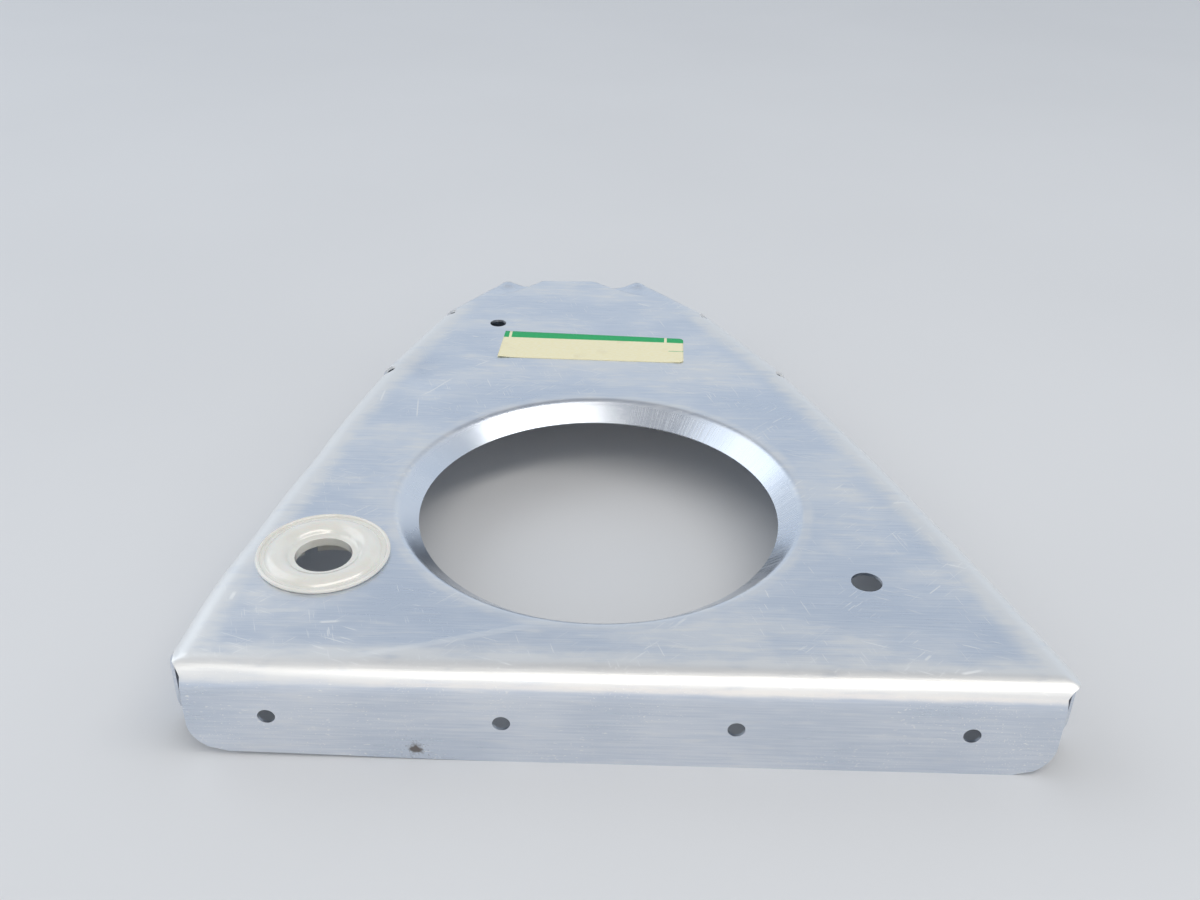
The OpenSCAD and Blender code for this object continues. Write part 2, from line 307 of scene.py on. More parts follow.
def left_side_end(point, height):
    """Cut at the front end of the long left flange, which runs from the notch to the front."""
    return side_limit(point, relief_left, relief_left_end) + corner_back(height) - point.y


# Each flange's two ends are looked for between a place on the flange and one past its end.
spar_past = 1
long_front = 0.5
long_middle = 60
long_right_back = 122
long_left_back = 121
short_past = 4
spar_span = (spar_left + spar_past, 0, spar_start), (0, spar_right - spar_past, spar_end)
long_right_span = (
    (long_front, long_middle, right_side_start),
    (long_middle, long_right_back, notch_cut(right_notches[0], right_way, -1)),
)
long_left_span = (
    (long_left_back, long_middle, notch_cut(left_notches[1], left_way, 1)),
    (long_middle, long_front, left_side_end),
)
nose_middle = nose_run / 2
short_right_middle = nose_span[0] / 2
short_left_middle = nose_run - nose_span[-1] / 2
short_right_span = (
    (-short_past, short_right_middle, notch_cut(right_notches[0], right_way, 1)),
    (short_right_middle, nose_span[0] + short_past, notch_cut(right_notches[1], right_way, -1)),
)
nose_flange_span = (
    (short_right_middle, nose_middle, notch_cut(right_notches[1], right_way, 1)),
    (nose_middle, short_left_middle, notch_cut(left_notches[0], left_way, -1)),
)
short_left_span = (
    (nose_middle, short_left_middle, notch_cut(left_notches[0], left_way, 1)),
    (short_left_middle, nose_run + short_past, notch_cut(left_notches[1], left_way, -1)),
)

spar_columns = 130
long_columns = 80
short_columns = 30
nose_columns = 130
side_rows = bend_rows + flange_rows
spar_bend = hang_rows(spar_edge, *spar_span, bend_rows, spar_columns)
long_right = hang_rows(long_right_edge, *long_right_span, side_rows, long_columns)
short_right = hang_rows(nose_edge, *short_right_span, side_rows, short_columns)
nose_flange = hang_rows(nose_edge, *nose_flange_span, side_rows, nose_columns)
short_left = hang_rows(nose_edge, *short_left_span, side_rows, short_columns)
long_left = hang_rows(long_left_edge, *long_left_span, side_rows, long_columns)


def notch_end(notch, way):
    """The round end of a notch in plan, along the way that the rim is followed."""
    inward = Vector((-way.y, way.x))
    centre = notch + (notch_depth - notch_width / 2) * inward
    points = []
    for step in range(notch_steps + 1):
        angle = math.pi * step / notch_steps
        across = -math.cos(angle) * way + math.sin(angle) * inward
        points.append(centre + notch_width / 2 * across)
    return points


rim = [point.xy for point in spar_bend[0]] + [relief_right]
rim += [point.xy for point in long_right[0]] + notch_end(right_notches[0], right_way)
rim += [point.xy for point in short_right[0]] + notch_end(right_notches[1], right_way)
rim += [point.xy for point in nose_flange[0]] + notch_end(left_notches[0], left_way)
rim += [point.xy for point in short_left[0]] + notch_end(left_notches[1], left_way)
rim += [point.xy for point in long_left[0]] + [relief_left]

# Holes in the web: the lightening hole inside its lip, the seat of the bushing and two tooling holes.
lightening_centre = Vector((-4.9, 60.3))
lightening_radius = 39.2
lip_bend_radius = 2.4
lip_length = 5.35
lip_turn = math.radians(40)
lip_foot = lightening_radius + lip_length * math.cos(lip_turn)
lip_start = lip_foot + lip_bend_radius * math.sin(lip_turn)
lip_segments = 192
seat_centre = Vector((-60.2, 36.3))
seat_radius = 11.1
seat_segments = 72
tooling_hole = Vector((48.8, 31.5))
tooling_radius = 3.1
tooling_segments = 40
nose_hole = Vector((-34.4, 146.4))
nose_hole_radius = 2.2
nose_hole_segments = 36


def ring(centre, radius, count):
    """Points around a circle in plan."""
    angles = [2 * math.pi * step / count for step in range(count)]
    return [centre + radius * Vector((math.cos(angle), math.sin(angle))) for angle in angles]


web_holes = [
    ring(lightening_centre, lip_start, lip_segments),
    ring(seat_centre, seat_radius, seat_segments),
    ring(tooling_hole, tooling_radius, tooling_segments),
    ring(nose_hole, nose_hole_radius, nose_hole_segments),
]


def inside(loop, point):
    """Whether a point lies inside a closed loop in plan."""
    crossed = False
    for a, b in zip(loop, loop[1:] + loop[:1]):
        if (a.y > point.y) != (b.y > point.y):
            if point.x < a.x + (b.x - a.x) * (point.y - a.y) / (b.y - a.y):
                crossed = not crossed
    return crossed


keep_inside = 1
same_point = 1e-5


def fill(loop, holes, free, clear):
    """Triangles between a loop and its holes, with the free points that lie clear of them."""
    points = list(loop)
    sides = [(step, (step + 1) % len(loop)) for step in range(len(loop))]
    for hole in holes:
        first = len(points)
        points += hole
        sides += [(first + step, first + (step + 1) % len(hole)) for step in range(len(hole))]
    bounds = KDTree(len(points))
    for place, point in enumerate(points):
        bounds.insert(point.to_3d(), place)
    bounds.balance()
    for point in free:
        if bounds.find(point.to_3d())[2] > clear and inside(loop, point):
            if not any(inside(hole, point) for hole in holes):
                points.append(point)
    made = delaunay_2d_cdt(points, sides, [], keep_inside, same_point)
    kept = []
    for face in made[2]:
        centre = sum((made[0][place] for place in face), Vector((0, 0))) / 3
        if not any(inside(hole, centre) for hole in holes):
            kept.append(face)
    return made[0], kept


# Points over the web: an even field, closer at the nose where the flutes are, lines along the bends (edge,
# start, end and steps) and rings around the lip (how far beyond it, and points).
web_spacing = 2.6
nose_spacing = 0.9
nose_zone = 158
web_clear = 0.45
bend_insets = (2.6, 3.2, 3.9, 4.6, 5.3, 6.2)
bend_lines = [
    (spar_edge, spar_left + 4, spar_right - 4, 110),
    (long_right_edge, 4, 119, 76),
    (long_left_edge, 4, 117, 74),
    (nose_edge, 1, nose_span[0], 26),
    (nose_edge, nose_run - nose_span[-1], nose_run - 1, 26),
]
lip_rings = ((0.9, 160), (2.2, 140), (4.0, 120))
free_points = []
row_y = 3.0
row_odd = False
while row_y < nose_corner_right.y:
    spacing = nose_spacing if row_y > nose_zone else web_spacing
    x = spar_left + (spacing / 2 if row_odd else 0)
    while x < spar_right:
        point = Vector((x, row_y))
        near_bend = min(min(spar_inset(point)), nose_inset(point)) < bend_radius + 1
        if row_y > nose_zone or not near_bend:
            free_points.append(point)
        x += spacing
    row_y += spacing * math.sqrt(3) / 2
    row_odd = not row_odd
for edge, low, high, count in bend_lines:
    for inset in bend_insets:
        for step in range(count + 1):
            point, outward = edge(low + (high - low) * step / count)
            free_points.append(point - inset * outward)
for beyond, count in lip_rings:
    free_points += ring(lightening_centre, lip_start + beyond, count)
web_points, web_faces = fill(rim, web_holes, free_points, web_clear)

# The lip turns down into the lightening hole over a tight bend and runs on straight to its cut edge.
lip_bend_steps = 8
lip_steps = 4
lip_profile = []
for step in range(lip_bend_steps + 1):
    turn = lip_turn * step / lip_bend_steps
    drop = lip_bend_radius * (1 - math.cos(turn))
    lip_profile.append((lip_start - lip_bend_radius * math.sin(turn), flange_height - drop))
bend_end_radius, bend_end_height = lip_profile[-1]
for step in range(1, lip_steps + 1):
    run = lip_length * step / lip_steps
    radius = bend_end_radius - run * math.cos(lip_turn)
    lip_profile.append((radius, bend_end_height - run * math.sin(lip_turn)))

# Rivet holes along the spar flange. Its left end is bent up a little at the lower edge.
rivet_pitch = 42.8
rivet_places = (-1.5, -0.5, 0.5, 1.5)
rivet_radius = 1.63
rivet_height = 9.4
rivet_segments = 28
spar_lift = 0.9
spar_lift_from = -18
spar_spacing = 2.2
spar_steps = 80
spar_levels = 7
spar_clear = 0.6
spar_ends = hang_rows(spar_edge, *spar_span, flange_rows, 1)
spar_foot = [row[0].xz for row in spar_ends]
spar_head = [row[1].xz for row in spar_ends]
spar_lower = [Vector((x, 0)) for x in range(int(spar_foot[-1].x) + 2, int(spar_head[-1].x) - 1, 2)]
spar_loop = [point.xz for point in reversed(spar_bend[-1])] + spar_foot + spar_lower + spar_head[::-1]
spar_holes = []
for rivet in rivet_places:
    spar_holes.append(ring(Vector((rivet * rivet_pitch, rivet_height)), rivet_radius, rivet_segments))
spar_free = []
for level in range(1, spar_levels):
    for step in range(spar_steps):
        spar_free.append(Vector((spar_left + spar_spacing * step, bend_foot * level / spar_levels)))
spar_points, spar_faces = fill(spar_loop, spar_holes, spar_free, spar_clear)


def spar_raised(point):
    """A point of the spar flange, raised where its lower edge is bent up."""
    lift = spar_lift * smooth(spar_lift_from, spar_flange_left, point.x)
    return Vector((point.x, 0, point.y + lift * (1 - point.y / bend_foot)))


# Flutes: two round troughs that sink through the web toward the nose and run on down its flange, to take
# up the metal that is too long there. Each has the place where it crosses the nose, its heading, its
# radius and its slope.
flute_length = 18
flutes = [
    (Vector((-29.0, 180.1)), math.radians(60), 7.5, math.tan(math.radians(10.8))),
    (Vector((-2.4, 181.1)), math.radians(129), 9.0, math.tan(math.radians(12))),
]
flute_on_flange = 0.45
flute_at_foot = 0.25


def flute_depth(point, height):
    """How far a flute presses the sheet in, at a point in plan and a height on the flange."""
    depth = 0
    for mouth, heading, radius, slope in flutes:
        way = Vector((math.cos(heading), math.sin(heading)))
        offset = point - mouth
        along = min(offset.dot(way) + flute_length, flute_length + 1)
        across = abs(offset.dot(Vector((-way.y, way.x))))
        if along > 0 and across < radius:
            trough = slope * along - radius + math.sqrt(radius ** 2 - across ** 2)
            if trough > 0:
                kept = flute_at_foot + (flute_on_flange - flute_at_foot) * smooth(0, bend_foot, height)
                depth = max(depth, trough - (flange_height - height), kept * trough)
    return depth


# Handling has left a few shallow dents in the web: centre, heading, half length, half width and depth.
# They fade out where the bends begin, between two heights.
dents = [
    (Vector((-51.0, 114.0)), math.radians(-68), 9.5, 3.6, 0.7),
    (Vector((-41.0, 109.0)), math.radians(54), 7.0, 4.0, -0.12),
    (Vector((36.0, 112.0)), math.radians(-62), 9.0, 4.0, 0.14),
    (Vector((58.0, 52.0)), math.radians(-70), 12.0, 5.0, 0.10),
    (Vector((-34.0, 9.0)), math.radians(17), 18.0, 2.6, -0.10),
    (Vector((20.0, 140.0)), math.radians(-60), 12.0, 6.0, 0.12),
]
dent_heights = (18, 19.9)
# The metal beside each flute stands up a little at the nose corners, and the left end of the spar bend is
# flattened: centre, reach along x, reach the other ways, and depth.
bend_dents = [
    (Vector((-33.6, 177.2, 19.4)), 3.4, 3.4, -0.85),
    (Vector((3.6, 178.6, 19.4)), 3.4, 3.4, -0.85),
    (Vector((-73.0, 1.2, 17.8)), 8.0, 1.7, 0.28),
]


def dent_depth(point):
    """How far dents press the web in at a point in plan."""
    depth = 0
    for centre, heading, half_length, half_width, deepest in dents:
        offset = turned(point - centre, -heading)
        depth += deepest * math.exp(-(offset.x / half_length) ** 2 - (offset.y / half_width) ** 2)
    return depth


def bend_dent_depth(place):
    """How far the bends are pressed in at a point of the sheet."""
    depth = 0
    for centre, reach_x, reach, deepest in bend_dents:
        offset = place - centre
        far = (offset.x / reach_x) ** 2 + (offset.y ** 2 + offset.z ** 2) / reach ** 2
        depth += deepest * math.exp(-far)
    return depth


rib_middle = Vector((
    (long_left_edge(side_flange_start)[0].x + long_right_edge(side_flange_start)[0].x) / 2,
    nose_corner_right.y / 2,
    0,
))
shape = bmesh.new()


def put(point):
    """A vertex of the sheet's outer face, in the frame."""
    return shape.verts.new((point - rib_middle) * mm)


def skin(grid, closed=False, flip=False):
    """Quads over rows of points."""
    rows = [[put(point) for point in row] for row in grid]
    for upper, lower in zip(rows, rows[1:]):
        count = len(upper)
        for step in range(count if closed else count - 1):
            after = (step + 1) % count
            face = [upper[step], lower[step], lower[after], upper[after]]
            shape.faces.new(face[::-1] if flip else face)


web_corners = [put(Vector((point.x, point.y, web_height(point)))) for point in web_points]
for face in web_faces:
    a, b, c = [web_corners[place] for place in face]
    upward = (b.co - a.co).cross(c.co - a.co).z > 0
    shape.faces.new((a, b, c) if upward else (c, b, a))
for grid in (spar_bend, long_right, short_right, nose_flange, short_left, long_left):
    skin(grid)
lip_rows = []
for radius, height in lip_profile:
    lip_rows.append([Vector((p.x, p.y, height)) for p in ring(lightening_centre, radius, lip_segments)])
skin(lip_rows, closed=True, flip=True)
spar_corners = [put(spar_raised(point)) for point in spar_points]
for face in spar_faces:
    a, b, c = [spar_corners[place] for place in face]
    forward = (b.co - a.co).cross(c.co - a.co).y < 0
    shape.faces.new((a, b, c) if forward else (c, b, a))

weld_reach = 0.004
bmesh.ops.remove_doubles(shape, verts=shape.verts, dist=weld_reach * mm)
loose = [corner for corner in shape.verts if not corner.link_faces]
bmesh.ops.delete(shape, geom=loose, context="VERTS")
shape.normal_update()

# Rub and sheen: the sheet is worn hazy along its bends, less so at the nose, and around the lip. Along the
# bends the pale haze is also a painted highlight, for the light that the bends catch. Each pair is where a
# change begins and where it ends.
bend_rub_sheen_fade = (3, 15)
nose_rub_sheen_fade = (150, 168)
nose_rub_sheen_loss = 0.6
lip_rub_most = 0.62
lip_rub_rise = (0, 1.2)
lip_rub_fade = (2, 6)
rub_and_sheen = []
for corner in shape.verts:
    place = corner.co / mm + rib_middle
    pressed = flute_depth(place.xy, place.z) + bend_dent_depth(place)
    pressed += dent_depth(place.xy) * smooth(*dent_heights, place.z)
    corner.co -= corner.normal * pressed * mm
    nearest = nose_inset(place.xy)
    if place.y <= left_1.y:
        nearest = min(nearest, *spar_inset(place.xy))
    bend_rub_and_sheen = (1 - smooth(*bend_rub_sheen_fade, nearest)) * smooth(bend_foot, flange_height - 1, place.z)
    bend_rub_and_sheen *= 1 - nose_rub_sheen_loss * smooth(*nose_rub_sheen_fade, place.y)
    from_lip = (place.xy - lightening_centre).length - lip_foot
    lip_rub = lip_rub_most * smooth(*lip_rub_rise, from_lip) * (1 - smooth(*lip_rub_fade, from_lip))
    rub_and_sheen.append(max(bend_rub_and_sheen, lip_rub))

sheet = bpy.data.meshes.new("pressed_sheet")
shape.to_mesh(sheet)
shape.free()
rub_and_sheen_layer = sheet.attributes.new("rub_and_sheen", "FLOAT", "POINT")
rub_and_sheen_layer.data.foreach_set("value", rub_and_sheen)
for face in sheet.polygons:
    face.use_smooth = True
rib = bpy.data.objects.new("pressed_sheet", sheet)
bpy.context.collection.objects.link(rib)
gauge = rib.modifiers.new("gauge", "SOLIDIFY")
gauge.thickness = sheet_thickness * mm
gauge.offset = -1
gauge.use_even_offset = True
gauge.use_quality_normals = True
deburr = rib.modifiers.new("deburr", "BEVEL")
deburr.width = 0.2 * mm
deburr.segments = 2
deburr.limit_method = "ANGLE"
deburr.angle_limit = math.radians(55)
deburr.harden_normals = True


class Tone:
    """A socket in a finish. Arithmetic on it adds Math nodes, and add() makes any other node."""

    def __init__(self, tree, socket=None):
        self.tree = tree
        self.socket = socket

    def add(self, kind, settings=None, sockets=None, output=0):
        node = self.tree.nodes.new(kind)
        for name, value in (settings or {}).items():
            setattr(node, name, value)
        for name, value in (sockets or {}).items():
            if isinstance(value, Tone):
                self.tree.links.new(value.socket, node.inputs[name])
            else:
                node.inputs[name].default_value = value
        return Tone(self.tree, node.outputs[output])

    def reckon(self, operation, *values):
        return self.add("ShaderNodeMath", {"operation": operation}, dict(enumerate(values)))

    def __add__(self, other):
        return self.reckon("ADD", self, other)

    def __radd__(self, other):
        return self.reckon("ADD", other, self)

    def __sub__(self, other):
        return self.reckon("SUBTRACT", self, other)

    def __rsub__(self, other):
        return self.reckon("SUBTRACT", other, self)

    def __mul__(self, other):
        return self.reckon("MULTIPLY", self, other)

    def __rmul__(self, other):
        return self.reckon("MULTIPLY", other, self)

    def __truediv__(self, other):
        return self.reckon("DIVIDE", self, other)

    def __rtruediv__(self, other):
        return self.reckon("DIVIDE", other, self)

    def __pow__(self, other):
        return self.reckon("POWER", self, other)

    def __rpow__(self, other):
        return self.reckon("POWER", other, self)

    def larger(self, other):
        return self.reckon("MAXIMUM", self, other)

    def smaller(self, other):
        return self.reckon("MINIMUM", self, other)

    def near(self, middle, half):
        return self.reckon("COMPARE", self, middle, half)

    def step(self, low, high):
        settings = {"interpolation_type": "SMOOTHSTEP"}
        return self.add("ShaderNodeMapRange", settings, {"Value": self, "From Min": low, "From Max": high})

    def axes(self):
        node = self.add("ShaderNodeSeparateXYZ", {}, {0: self}).socket.node
        return [Tone(self.tree, output) for output in node.outputs]

    def stretched(self, scale):
        return self.add("ShaderNodeVectorMath", {"operation": "MULTIPLY"}, {0: self, 1: scale})

    def swung(self, angle):
        settings = {"rotation_type": "Z_AXIS"}
        return self.add("ShaderNodeVectorRotate", settings, {"Vector": self, "Angle": angle})

    def noise(self, scale, detail=2.0):
        return self.add("ShaderNodeTexNoise", {}, {"Vector": self, "Scale": scale, "Detail": detail})

    def blend(self, first, second):
        return self.add("ShaderNodeMix", {"data_type": "RGBA"}, {0: self, 6: first, 7: second}, 2)

    def bump(self, strength, distance):
        sockets = {"Strength": strength, "Distance": distance, "Height": self}
        return self.add("ShaderNodeBump", {}, sockets, "Normal")


def finish(name):
    """A new material: its shader node and a Tone to build the rest of it from."""
    material = bpy.data.materials.new(name)
    material.use_nodes = True
    return material, material.node_tree.nodes["Principled BSDF"], Tone(material.node_tree)


def feed(shader, name, tone):
    """Links a tone to a socket of a shader."""
    tone.tree.links.new(tone.socket, shader.inputs[name])


# Its finish: bare rolled aluminium, satin along the rolling direction, hazy and pale where it has been
# rubbed along the bends, where the pale is also a painted highlight, and in soft clouds over the web. It
# has short handling scratches, two faint creases painted as pale glints, and one dark spot low on the spar
# flange.
alloy = (0.78, 0.815, 0.87, 1)
alloy_clear = (0.65, 0.705, 0.79, 1)
# Pale of rubbed metal, also laid along the bends as a painted highlight.
alloy_haze_and_sheen = (0.91, 0.905, 0.89, 1)
alloy_scratch_and_glint = (0.97, 0.97, 0.96, 1)
spot_brown = (0.10, 0.075, 0.055, 1)
rolling_scale = (90, 2400, 2400)
cloud_scale = (34, 48, 48)
haze_scale = (150, 210, 210)
brush_scale = (110, 640, 640)
lip_marks = (42.6 * mm, 43.8 * mm)
metal, metal_shader, grain = finish("rolled_aluminium")
place = grain.add("ShaderNodeTexCoord", output="Object")
across, along, rise = place.axes()
rub_and_sheen_tone = grain.add("ShaderNodeAttribute", {"attribute_name": "rub_and_sheen"}, output="Fac")
rolling = place.stretched(rolling_scale).noise(1.0, 4.0)
cloud = place.stretched(cloud_scale).noise(1.0, 4.0)
haze_edge = place.stretched(haze_scale).noise(1.0, 5.0)
brushed = place.stretched(brush_scale).noise(1.0, 5.0)
hole_place = (lightening_centre.to_3d() - rib_middle) * mm
hole_x = across - hole_place.x
hole_y = along - hole_place.y
hole_reach = (hole_x ** 2 + hole_y ** 2) ** 0.5
on_lip = 1 - hole_reach.step(*lip_marks)
on_web = rise.step(bend_foot * mm, flange_height * mm)
# Rubbed haze, painted paler along the bends as a standing highlight, with random clouds and streaks over
# the web.
haze_and_sheen = (rub_and_sheen_tone * (0.1 + 0.9 * haze_edge + 0.9 * brushed)).step(0.3, 0.95)
streaks = (brushed * (0.6 + 0.8 * cloud)).step(0.5, 0.78) * (0.3 + 0.25 * on_web)
clouds = (0.7 * cloud + 0.3 * haze_edge).step(0.46, 0.66) * 0.5 * on_web
haze_and_sheen = haze_and_sheen.larger(streaks + clouds) * (1 - 0.85 * on_lip)
rolling = rolling * (1 - 0.95 * on_lip) + 0.45 * on_lip

# Fields of short scratches: heading, length, width and how rare they are.
scratch_fields = [
    (0.35, 7.5, 0.36, 0.68),
    (-0.8, 6.0, 0.32, 0.69),
    (1.25, 5.5, 0.34, 0.69),
]
scratch_patches = (55, 55, 55)


def scratch_field(angle, length, width, share):
    """Short straight scratches one way, in loose patches over the sheet."""
    turned_place = place.swung(angle)
    fine = 1 / (width * mm)
    lines = turned_place.stretched((1 / (length * mm), fine, fine)).noise(1.0, 1.0)
    patches = turned_place.stretched(scratch_patches).noise(1.0, 2.0)
    return lines.step(share, share + 0.04) * patches.step(0.46, 0.6)


def drawn_mark(start, end, width):
    """One scratch, or the painted glint of a crease, between two points of the web, in millimetres as the
    blank is laid out.
    """
    start = (Vector((*start, 0)) - rib_middle) * mm
    end = (Vector((*end, 0)) - rib_middle) * mm
    way = end - start
    length = way.length
    way /= length
    from_x = across - start.x
    from_y = along - start.y
    run = from_x * way.x + from_y * way.y
    side = from_y * way.x - from_x * way.y
    side = side.reckon("ABSOLUTE", side)
    ends = run.step(0, 0.2 * length) * (1 - run.step(0.7 * length, length))
    return (1 - side.step(0.4 * width * mm, width * mm)) * ends


# Single scratches and, last, two faint creases, each painted as a pale line, a painted glint: start, end,
# width and strength.
drawn_scratches_and_creases = [
    ((-50.4, 103.3), (-42.2, 114.6), 0.28, 1),
    ((-49.3, 92.5), (-50.4, 103.3), 0.22, 1),
    ((-56.8, 14.6), (-52.4, 15.1), 0.45, 1),
    ((59.0, 60.5), (62.6, 61.0), 0.35, 1),
    ((55.6, 8.0), (57.1, 9.7), 0.35, 1),
    ((61.3, 4.6), (66.1, 5.9), 0.4, 1),
    ((-38.2, 120.3), (-34.6, 123.9), 0.25, 1),
    ((-59.4, 100.0), (-59.1, 107.2), 0.3, 1),
    ((4.0, 162.0), (8.3, 159.5), 0.4, 1),
    ((-74.9, 20.6), (-74.6, 23.7), 0.5, 1),
    ((-49.3, 4.9), (-31.0, 10.4), 0.9, 0.4),
    ((-36.0, 8.9), (-13.9, 16.2), 1.1, 0.45),
]
scratch_and_crease_glint = sum(scratch_field(*field) for field in scratch_fields)
for start, end, width, strength in drawn_scratches_and_creases:
    scratch_and_crease_glint = scratch_and_crease_glint + strength * drawn_mark(start, end, width)
scratch_and_crease_glint = scratch_and_crease_glint.smaller(1.0) * (1 - 0.85 * on_lip)

# The dark spot has a ragged edge with specks around it, on the outer face of the spar flange alone.
spot_centre = Vector((-37.3, 0, 2.6))
spot_ragged = 3.4 * mm
spot_edges = (2.4 * mm, 3.5 * mm)
speck_edges = (1.0 * mm, 4.5 * mm)
spar_face_edges = (-89.5 * mm, -88.5 * mm)
spot_place = (spot_centre - rib_middle) * mm
spot_reach = ((across - spot_place.x) ** 2 + (rise - spot_place.z) ** 2) ** 0.5
spot = 1 - (spot_reach + spot_ragged * place.noise(900, 4.0)).step(*spot_edges)
spot_specks = place.noise(2600, 2.0).step(0.62, 0.7) * (1 - spot_reach.step(*speck_edges))
spot = spot.larger(0.7 * spot_specks) * (1 - along.step(*spar_face_edges))

# Fine lines run down the lip on its right side.
lines_around = 130
lines_down = 90
lip_angle = hole_y.reckon("ARCTAN2", hole_y, hole_x)
lip_axes = {0: lines_around * lip_angle, 1: lines_down * hole_reach}
lip_place = grain.add("ShaderNodeCombineXYZ", {}, lip_axes)
lip_lines = lip_place.noise(1.0, 3.0).step(0.5, 0.64) * on_lip * hole_x.step(2 * mm, 20 * mm)

metal_colour = (0.6 * cloud + 0.4 * rolling).step(0.36, 0.64).blend(alloy_clear, alloy)
# Blends in the pale haze, which along the bends is also a painted highlight.
metal_colour = haze_and_sheen.blend(metal_colour, alloy_haze_and_sheen)
# Pale scratches, and the two creases as a painted glint.
metal_colour = (scratch_and_crease_glint * 0.8).blend(metal_colour, alloy_scratch_and_glint)
metal_colour = (lip_lines * 0.2).blend(metal_colour, alloy_scratch_and_glint)
metal_colour = (spot * 0.9).blend(metal_colour, spot_brown)
feed(metal_shader, "Base Color", metal_colour)
metal_roughness = 0.2 + 0.1 * cloud + 0.1 * rolling + 0.14 * haze_and_sheen + 0.18 * scratch_and_crease_glint + 0.3 * spot
metal_roughness = metal_roughness + 0.1 * lip_lines - 0.04 * on_lip
feed(metal_shader, "Roughness", metal_roughness)
feed(metal_shader, "Metallic", 1 - 0.8 * spot)
relief = rolling + 0.6 * scratch_and_crease_glint + 0.2 * lip_lines
feed(metal_shader, "Normal", relief.bump(0.2, 0.12 * mm))
sheet.materials.append(metal)
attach(rib, "root")
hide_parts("rib")

# Snap-in bushing that lines the hole for a cable or hose: one moulding of cream-white nylon, pushed into
# its seat from above. A crowned ring with a beaded rim lies on the web, and six fingers catch under it.
bushing_bore = 5.75
bushing_rim = 13.5
bushing_neck = 11.0
crown_height = 1.45
crown_radius = 3.0
crown_place = (bushing_bore + bushing_rim) / 2 - 0.1
crown_steps = 22
funnel_radius = 7.2
funnel_run = 0.55
funnel_steps = 6
throat_step = 0.4
throat_drop = 0.1
throat_wall = 1.2
throat_depth = 2.0
rim_height = 0.4
rim_bead = 0.45
bead_steps = 10
catch_depth = 0.74
catch_width = 0.5
catch_foot = catch_depth + catch_width
finger_root = 2.5
finger_depth = 6.0
finger_inner = 9.7
bushing_segments = 132
finger_cells = 22
gap_cells = 3


def arc(centre, radius, first, last, steps):
    """Points on an arc in a section through the bushing, angles in radians."""
    angles = [first + (last - first) * step / steps for step in range(steps + 1)]
    return [(centre[0] + radius * math.cos(a), centre[1] + radius * math.sin(a)) for a in angles]


crown_centre = (crown_place, crown_height - crown_radius)
crown_from = math.acos((funnel_radius - crown_place) / crown_radius)
crown_to = math.asin((rim_height - crown_centre[1]) / crown_radius)
bead_centre = (bushing_rim - rim_bead, rim_bead)
bead_from = math.pi - math.asin((rim_height - rim_bead) / rim_bead)
funnel_low = Vector((bushing_bore + throat_step, -throat_drop))
funnel_high = Vector((funnel_radius, crown_centre[1] + crown_radius * math.sin(crown_from)))
funnel_bulge = funnel_high - funnel_run * Vector((math.sin(crown_from), -math.cos(crown_from)))
taper = 2 * catch_width * (finger_root - catch_foot) / (finger_depth - catch_foot)
section = [(bushing_bore, -throat_depth), (bushing_bore, -throat_drop)]
for step in range(funnel_steps):
    share = step / funnel_steps
    rest = 1 - share
    point = rest ** 2 * funnel_low + 2 * share * rest * funnel_bulge + share ** 2 * funnel_high
    section.append((point.x, point.y))
section += arc(crown_centre, crown_radius, crown_from, crown_to, crown_steps)
section += arc(bead_centre, rim_bead, bead_from, -math.pi / 2, bead_steps)
section += [
    (bushing_neck, 0),
    (bushing_neck, -catch_depth),
    (bushing_neck + catch_width, -catch_depth),
    (bushing_neck + catch_width, -catch_foot),
    (bushing_neck + catch_width - taper, -finger_root),
]
root_place = len(section) - 1
section += [
    (finger_inner, -finger_root),
    (finger_inner, 0),
    (bushing_bore + throat_wall, 0),
    (bushing_bore + throat_wall, -throat_depth),
]
tip_outer = (bushing_neck - catch_width, -finger_depth)
tip_inner = (finger_inner, -finger_depth)

moulding = bmesh.new()
bushing_place = Vector((seat_centre.x, seat_centre.y, flange_height)) - rib_middle


def spun(radius, height, step):
    """A vertex of the bushing at a radius and height, that many segments around."""
    angle = 2 * math.pi * step / bushing_segments
    point = Vector((radius * math.cos(angle), radius * math.sin(angle), height))
    return moulding.verts.new((bushing_place + point) * mm)


around = [[spun(radius, height, step) for radius, height in section] for step in range(bushing_segments)]
tips = [(spun(*tip_outer, step), spun(*tip_inner, step)) for step in range(bushing_segments)]
for step in range(bushing_segments):
    after = (step + 1) % bushing_segments
    here, there = around[step], around[after]
    offset = (step + gap_cells) % finger_cells
    in_gap = offset < 2 * gap_cells
    for place_on in range(len(section)):
        following = (place_on + 1) % len(section)
        if place_on == root_place and not in_gap:
            continue
        moulding.faces.new((here[place_on], here[following], there[following], there[place_on]))
    if in_gap:
        continue
    outer, inner = root_place, root_place + 1
    moulding.faces.new((here[outer], tips[step][0], tips[after][0], there[outer]))
    moulding.faces.new((tips[step][0], tips[step][1], tips[after][1], tips[after][0]))
    moulding.faces.new((tips[step][1], here[inner], there[inner], tips[after][1]))
    if offset == 2 * gap_cells:
        moulding.faces.new((here[outer], here[inner], tips[step][1], tips[step][0]))
    if offset == finger_cells - 1:
        moulding.faces.new((there[outer], tips[after][0], tips[after][1], there[inner]))
loose = [corner for corner in moulding.verts if not corner.link_faces]
bmesh.ops.delete(moulding, geom=loose, context="VERTS")
bmesh.ops.recalc_face_normals(moulding, faces=moulding.faces)
bushing_mesh = bpy.data.meshes.new("snap_bushing")
moulding.to_mesh(bushing_mesh)
moulding.free()
for face in bushing_mesh.polygons:
    face.use_smooth = True
bushing = bpy.data.objects.new("snap_bushing", bushing_mesh)
bpy.context.collection.objects.link(bushing)
